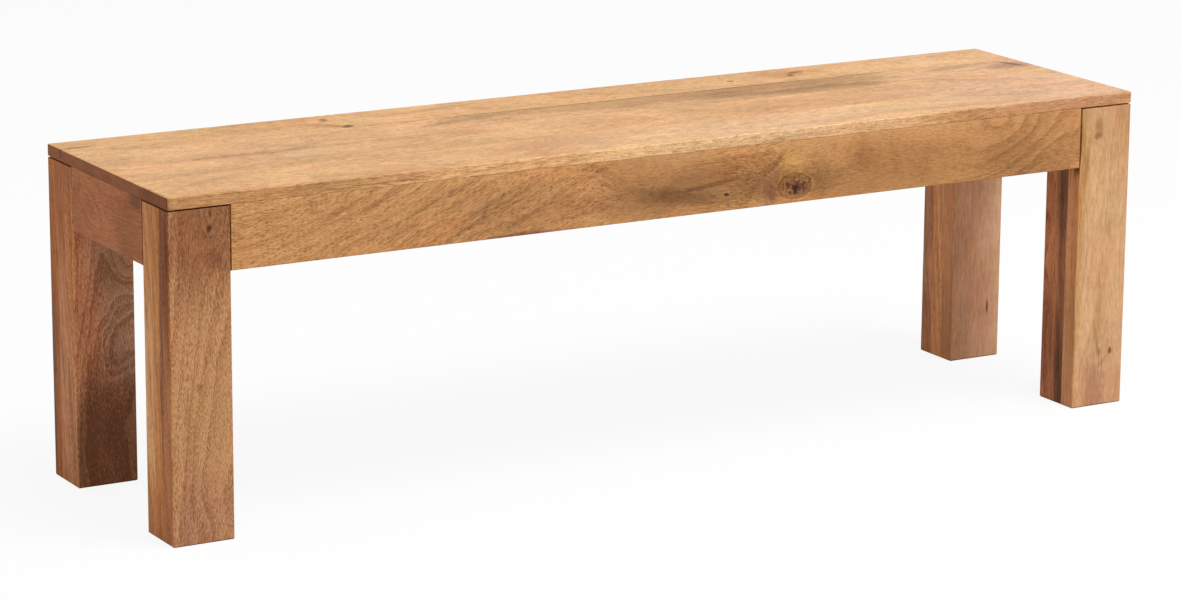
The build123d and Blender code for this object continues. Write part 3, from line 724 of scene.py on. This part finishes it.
leg_looks = {
    "front_left_leg_outer_stave": dict(
        shade=(0.52, 0.266, 0.121), pore_shade=(0.5, 0.42, 0.37), pore_share=0.75, pore_run=240.0,
        pore_pitch=1350.0, ring_contrast=0.14, line_contrast=0.22, streak_contrast=0.05, cloud_contrast=0.08,
        fibre_contrast=1.15, shimmer_contrast=0.04, streak_run=12.0, streak_pitch=500.0, fibre_run=190.0,
        wander_share=0.2, waviness=0.05, pith_aside=0.05,
        swirls=(
            ((-0.676, front_face, 0.43), (0.021, 0.05, 0.06), level, 0.04),
            ((-0.692, front_face, 0.0), (0.025, 0.05, 0.04), level, 0.014),
        ),
        stains=(
            # The dark top with three darker specks
            front_mark(front_face, -0.69, 0.42, 0.06, 0.11, (0.345, 0.146, 0.063), 0.95, 0.5, deep=0.03),
            front_mark(front_face, -0.68, 0.426, 0.002, 0.006, (0.2, 0.08, 0.045), 0.8, 0.6),
            front_mark(front_face, -0.682, 0.406, 0.003, 0.005, (0.14, 0.052, 0.032), 0.85, 0.6, turn=20),
            front_mark(front_face, -0.674, 0.366, 0.01, 0.014, (0.33, 0.138, 0.066), 0.6, 0.6, turn=-20),
            # The brown foot, a streak above it, and a speck half-way up
            front_mark(front_face, -0.7, 0.03, 0.05, 0.055, (0.51, 0.245, 0.128), 0.8, 0.5, deep=0.03),
            front_mark(front_face, -0.714, 0.09, 0.007, 0.1, (0.46, 0.215, 0.105), 0.6, 0.8, deep=0.03),
            front_mark(front_face, -0.698, 0.204, 0.004, 0.006, (0.34, 0.145, 0.07), 0.7, 0.6),
            # The left face is redder, with a dark patch and two dark lines
            side_mark(left_face, -0.176, 0.24, 0.03, 0.3, (0.65, 0.25, 0.095), 0.95, 0.2, deep=0.0014),
            side_mark(left_face, -0.18, 0.38, 0.014, 0.11, (0.29, 0.115, 0.025), 0.95, 0.9, deep=0.0014),
            side_mark(left_face, -0.1665, 0.28, 0.002, 0.15, (0.27, 0.115, 0.05), 0.8, 0.8, deep=0.0014),
            side_mark(left_face, -0.184, 0.35, 0.002, 0.07, (0.27, 0.115, 0.045), 0.8, 0.8, deep=0.0014),
        ),
    ),
    "front_left_leg_core_stave": dict(
        shade=(0.75, 0.31, 0.102), cloud_contrast=0.15,
        stains=(
            side_mark(left_face, -0.165, 0.28, 0.006, 0.16, (0.36, 0.13, 0.045), 0.9, 0.5),
            side_mark(left_face, -0.15, 0.02, 0.03, 0.04, (0.7, 0.275, 0.1), 0.7, 0.5, deep=0.03),
            side_mark(left_face, -0.15, 0.4, 0.02, 0.07, (0.71, 0.285, 0.082), 0.8, 0.5),
        ),
    ),
    "front_left_leg_inner_stave": dict(
        shade=(0.91, 0.475, 0.21), cloud_contrast=0.15,
        stains=(
            side_mark(left_face, -0.12, 0.4, 0.03, 0.1, (0.84, 0.37, 0.13), 0.8, 0.5, deep=0.03),
            side_mark(left_face, -0.12, 0.02, 0.03, 0.07, (0.68, 0.265, 0.098), 0.8, 0.5, deep=0.03),
        ),
    ),
    "back_left_leg_inner_stave": dict(
        shade=(0.61, 0.268, 0.135), line_contrast=0.35, pore_shade=(1.38, 1.6, 1.85), pore_share=0.9,
        pore_run=240.0, pore_pitch=1300.0, streak_contrast=0.12, fibre_contrast=1.25, streak_pitch=480.0,
        fibre_run=170.0, waviness=0.6,
        swirls=(
            ((-0.655, back_leg_face, 0.32), (0.03, 0.05, 0.05), level, 0.035),
            ((-0.66, back_leg_face, 0.2), (0.045, 0.05, 0.07), (0, 30, 0), -0.035),
        ),
        stains=(
            # A grey brown patch, the dark foot, and a redder left face that is paler low down
            front_mark(back_leg_face, -0.67, 0.25, 0.034, 0.13, (0.53, 0.295, 0.178), 0.85, 0.4, turn=-8),
            front_mark(
                back_leg_face, -0.69, 0.05, 0.07, 0.11, (0.3, 0.128, 0.065), 0.95, 0.45, deep=0.002,
            ),
            side_mark(left_face, 0.135, 0.22, 0.05, 0.4, (0.74, 0.285, 0.1), 0.95, 0.2, deep=0.0014),
            side_mark(left_face, 0.135, 0.06, 0.05, 0.15, (0.75, 0.375, 0.215), 0.9, 0.5, deep=0.0014),
        ),
    ),
    "back_left_leg_core_stave": dict(
        shade=(0.7, 0.27, 0.106),
        stains=(
            side_mark(left_face, 0.15, 0.4, 0.03, 0.08, (0.56, 0.18, 0.058), 0.8, 0.5),
            side_mark(left_face, 0.15, 0.1, 0.03, 0.15, (0.87, 0.385, 0.185), 0.85, 0.5),
        ),
    ),
    "back_left_leg_outer_stave": dict(
        shade=(0.57, 0.195, 0.055),
        stains=(side_mark(left_face, 0.19, 0.13, 0.013, 0.16, (0.33, 0.145, 0.072), 0.9, 0.5),),
    ),
    "front_right_leg_outer_stave": dict(
        shade=(0.675, 0.396, 0.206), ring_contrast=0.14, line_contrast=0.08, streak_contrast=0.16,
        fibre_contrast=0.5, cloud_contrast=0.14, pore_share=0.2,
        swirls=(
            ((0.681, front_face, 0.404), (0.012, 0.05, 0.022), level, 0.012),
            ((0.71, front_face, 0.078), (0.02, 0.05, 0.025), level, 0.01),
        ),
        stains=(
            # Brown streaks along the left edge
            front_mark(front_face, 0.664, 0.345, 0.003, 0.045, (0.52, 0.27, 0.08), 0.75, 0.6, turn=5),
            front_mark(front_face, 0.657, 0.35, 0.008, 0.13, (0.57, 0.3, 0.115), 0.8, 0.9),
            front_mark(front_face, 0.655, 0.2, 0.005, 0.16, (0.62, 0.34, 0.13), 0.7, 0.7),
            # The browner top and foot, and three narrow streaks above the foot
            front_mark(front_face, 0.69, 0.41, 0.06, 0.05, (0.62, 0.345, 0.165), 0.6, 0.9),
            front_mark(front_face, 0.69, 0.02, 0.018, 0.042, (0.53, 0.27, 0.152), 0.8, 0.5, turn=-8),
            front_mark(front_face, 0.71, 0.02, 0.045, 0.1, (0.62, 0.345, 0.185), 0.6, 0.6),
            front_mark(front_face, 0.6925, 0.088, 0.0022, 0.024, (0.5, 0.25, 0.12), 0.6, 0.9, turn=-10),
            front_mark(front_face, 0.703, 0.064, 0.0022, 0.014, (0.5, 0.25, 0.13), 0.5, 0.9, turn=48),
            front_mark(front_face, 0.692, 0.14, 0.006, 0.05, (0.6, 0.32, 0.15), 0.6, 0.6),
            # Two specks in the upper swirl and two in the lower one
            front_mark(front_face, 0.684, 0.406, 0.006, 0.01, (0.46, 0.235, 0.12), 0.75, 0.6),
            front_mark(front_face, 0.682, 0.392, 0.006, 0.004, (0.4, 0.19, 0.1), 0.8, 0.6, turn=-15),
            front_mark(front_face, 0.697, 0.078, 0.003, 0.005, (0.42, 0.21, 0.13), 0.7, 0.6),
            front_mark(front_face, 0.716, 0.078, 0.0035, 0.005, (0.27, 0.12, 0.07), 0.95, 0.5),
            # The left face is redder, brown at its foot and nearly black at its top
            side_mark(right_leg_face, -0.18, 0.2, 0.03, 0.22, (0.84, 0.395, 0.175), 0.98, 0.2, deep=0.0014),
            side_mark(right_leg_face, -0.18, 0.06, 0.03, 0.13, (0.58, 0.345, 0.19), 0.9, 0.5, deep=0.0016),
            side_mark(right_leg_face, -0.18, 0.41, 0.03, 0.07, (0.22, 0.1, 0.04), 0.98, 0.2, deep=0.0018),
        ),
    ),
    "front_right_leg_core_stave": dict(
        shade=(0.56, 0.225, 0.095),
        stains=(
            side_mark(right_leg_face, -0.154, 0.33, 0.011, 0.07, (0.25, 0.102, 0.05), 0.9, 0.8),
            side_mark(right_leg_face, -0.155, 0.18, 0.01, 0.12, (0.3, 0.125, 0.062), 0.8, 0.9),
            side_mark(right_leg_face, -0.156, 0.04, 0.013, 0.07, (0.22, 0.09, 0.045), 0.9, 0.8),
            side_mark(right_leg_face, -0.143, 0.23, 0.003, 0.11, (0.72, 0.31, 0.13), 0.7, 0.6),
        ),
    ),
    "front_right_leg_inner_stave": dict(
        shade=(0.64, 0.246, 0.1), climbs=((0.05, 0.35, (0, -0.06, 0)),),
        stains=(
            side_mark(right_leg_face, -0.125, 0.09, 0.03, 0.08, (0.4, 0.143, 0.072), 0.8, 0.5),
            side_mark(right_leg_face, -0.119, 0.265, 0.006, 0.012, (0.42, 0.145, 0.07), 0.8, 0.6, turn=-35),
            side_mark(right_leg_face, -0.117, 0.185, 0.005, 0.016, (0.36, 0.125, 0.065), 0.8, 0.6, turn=-25),
        ),
    ),
    "back_right_leg_inner_stave": dict(
        shade=(0.625, 0.336, 0.196), ring_contrast=0.12, line_contrast=0.06, streak_contrast=0.1,
        cloud_contrast=0.13, fibre_contrast=0.5, pore_share=0.2,
        stains=(
            # Paler at the right and browner at the left, with one dark speck, and a redder left face
            front_mark(back_leg_face, 0.745, 0.24, 0.035, 0.26, (0.9, 0.55, 0.335), 0.9, 0.6, deep=0.03),
            front_mark(back_leg_face, 0.716, 0.077, 0.002, 0.011, (0.2, 0.08, 0.06), 1.0, 0.5),
            front_mark(back_leg_face, 0.658, 0.09, 0.024, 0.2, (0.55, 0.285, 0.16), 0.85, 0.7, deep=0.004),
            side_mark(right_leg_face, 0.13, 0.2, 0.04, 0.3, (0.82, 0.365, 0.165), 0.95, 0.2, deep=0.0014),
            side_mark(right_leg_face, 0.13, 0.02, 0.04, 0.09, (0.53, 0.28, 0.16), 0.8, 0.5, deep=0.0014),
        ),
    ),
    "back_right_leg_core_stave": dict(
        shade=(0.86, 0.37, 0.15),
        stains=(side_mark(right_leg_face, 0.15, 0.2, 0.006, 0.2, (0.95, 0.44, 0.19), 0.8, 0.5),),
    ),
    "back_right_leg_outer_stave": dict(
        shade=(0.74, 0.31, 0.13),
        stains=(
            side_mark(right_leg_face, 0.185, 0.22, 0.014, 0.14, (0.56, 0.285, 0.165), 0.8, 0.5),
            side_mark(right_leg_face, 0.175, 0.03, 0.03, 0.07, (0.56, 0.235, 0.125), 0.8, 0.5),
        ),
    ),
}
usual_pith_aside = 0.02
for number, (stave_name, look) in enumerate(leg_looks.items()):
    leg = stave_name.rsplit("_", 2)[0]
    leg_box = joined_box([f"{leg}_{part}_stave" for part in ("outer", "core", "inner")])
    low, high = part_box(stave_name)
    middle = (low + high) / 2
    aside = look.pop("pith_aside", usual_pith_aside)
    dress(stave_name, wood(
        stave_name + "_wood", grain_z, pith=(middle.x + aside, middle.y + 0.06, 0.2), lean=(0.05, 0.04, 0),
        ring_width=0.01, wear_and_highlight_box=leg_box, seed=50.0 + 3.7 * number, **look,
    ))


# Corner blocks, cleats and cross bearers are plain sawn wood that doesn't show in use. They are glued and
# screwed inside the frame, and only sealed.
hidden_names = sorted(
    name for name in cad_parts
    if name.endswith(("corner_block", "cleat")) or name.startswith("cross_bearer")
)
for number, hidden_name in enumerate(hidden_names):
    low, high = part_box(hidden_name)
    size = high - low
    grain = max(range(3), key=lambda axis: size[axis])
    dress(hidden_name, wood(
        hidden_name + "_wood", grain, (0.62, 0.38, 0.2), pith=(low.x, low.y + 0.05, low.z - 0.05),
        ring_width=0.009, sawn=True, seed=110.0 + 3.1 * number,
    ))


# The dowels between the bearers and the rails are of pale hardwood, half in the one and half in the other.
# They are out of sight once the bench is together.
dress("bearer_dowels", wood(
    "dowel_wood", grain_y, (0.7, 0.52, 0.33), pith=(0.0, 0.0, 0.3), ring_width=0.006, ring_contrast=0.15,
    streak_contrast=0.15, pore_shade=(0.7, 0.6, 0.5), end_shade=(0.8, 0.76, 0.7), seed=151.0,
))


# Screws, washers, nuts and hanger bolts are zinc-plated steel. The plating is cloudy and crystalline, with
# fine scratches from the driver and the spanner, and the bolts' free ends are threaded.
def steel(name, tint, scratches_along, seed, thread_pitch=0.0):
    """Zinc-plated steel of one tint. scratches_along is the axis that the fine scratches follow, and
    thread_pitch cuts a thread along bolts that point level at a corner of the bench."""
    cloud_pitch, crystal_pitch = 160.0, 900.0
    scratch_run, scratch_pitch = 120.0, 3200.0
    scratch_shade = (0.86, 0.87, 0.88)
    material, tree, shader, place = new_finish(name)
    shifted = vector_maths(tree, "ADD", place, (seed, seed, seed))
    clouding = cloud(tree, vector_maths(tree, "SCALE", shifted, cloud_pitch), detail=4.0, roughness=0.55)
    facet = cells(tree, shifted, crystal_pitch)[1]
    scratches = drawn_out(tree, scratches_along, shifted, scratch_run, scratch_pitch)
    scratches = rise(tree, cloud(tree, scratches, detail=2.0), 0.6, 0.72)
    tone = maths(tree, "ADD", maths(tree, "MULTIPLY", clouding, 0.8), maths(tree, "MULTIPLY", facet, 0.2))
    dark, pale = [0.62 * part for part in tint], [min(1.0, 1.22 * part) for part in tint]
    colour = ramp(tree, tone, ((0.25, dark), (0.5, tint), (0.75, pale)))
    colour = laid_over(tree, "MIX", maths(tree, "MULTIPLY", scratches, 0.35), colour, scratch_shade)
    tree.links.new(colour, shader.inputs["Base Color"])
    shader.inputs["Metallic"].default_value = 1.0
    roughness = maths(tree, "MULTIPLY_ADD", facet, 0.1, swing(tree, clouding, 0.3, 0.36))
    tree.links.new(maths(tree, "MULTIPLY_ADD", scratches, -0.08, roughness), shader.inputs["Roughness"])
    relief = maths(tree, "MULTIPLY_ADD", scratches, -0.5, maths(tree, "MULTIPLY", clouding, 0.5))
    if thread_pitch:
        toward_corner = (math.sqrt(0.5), math.sqrt(0.5), 0.0)
        along = vector_maths(tree, "DOT_PRODUCT", vector_maths(tree, "ABSOLUTE", place), toward_corner)
        turns = maths(tree, "MULTIPLY", along, 2.0 * math.pi / thread_pitch)
        relief = maths(tree, "MULTIPLY_ADD", maths(tree, "SINE", turns), 2.2, relief)
    emboss(tree, shader, relief, strength=0.7, depth=0.0002)
    return material


screw_zinc = (0.6, 0.57, 0.48)
bolt_zinc = (0.56, 0.58, 0.61)
bolt_thread_pitch = 0.00125
for number, screw_name in enumerate(("bearer_screws", "cleat_screws", "corner_block_screws")):
    dress(screw_name, steel(screw_name + "_zinc", screw_zinc, grain_x, 160.0 + number))
dress("leg_hanger_bolts", steel("bolt_zinc", bolt_zinc, grain_z, 170.0, bolt_thread_pitch))
dress("leg_bolt_washers", steel("washer_zinc", bolt_zinc, grain_z, 175.0))
dress("leg_bolt_nuts", steel("nut_zinc", bolt_zinc, grain_x, 180.0))
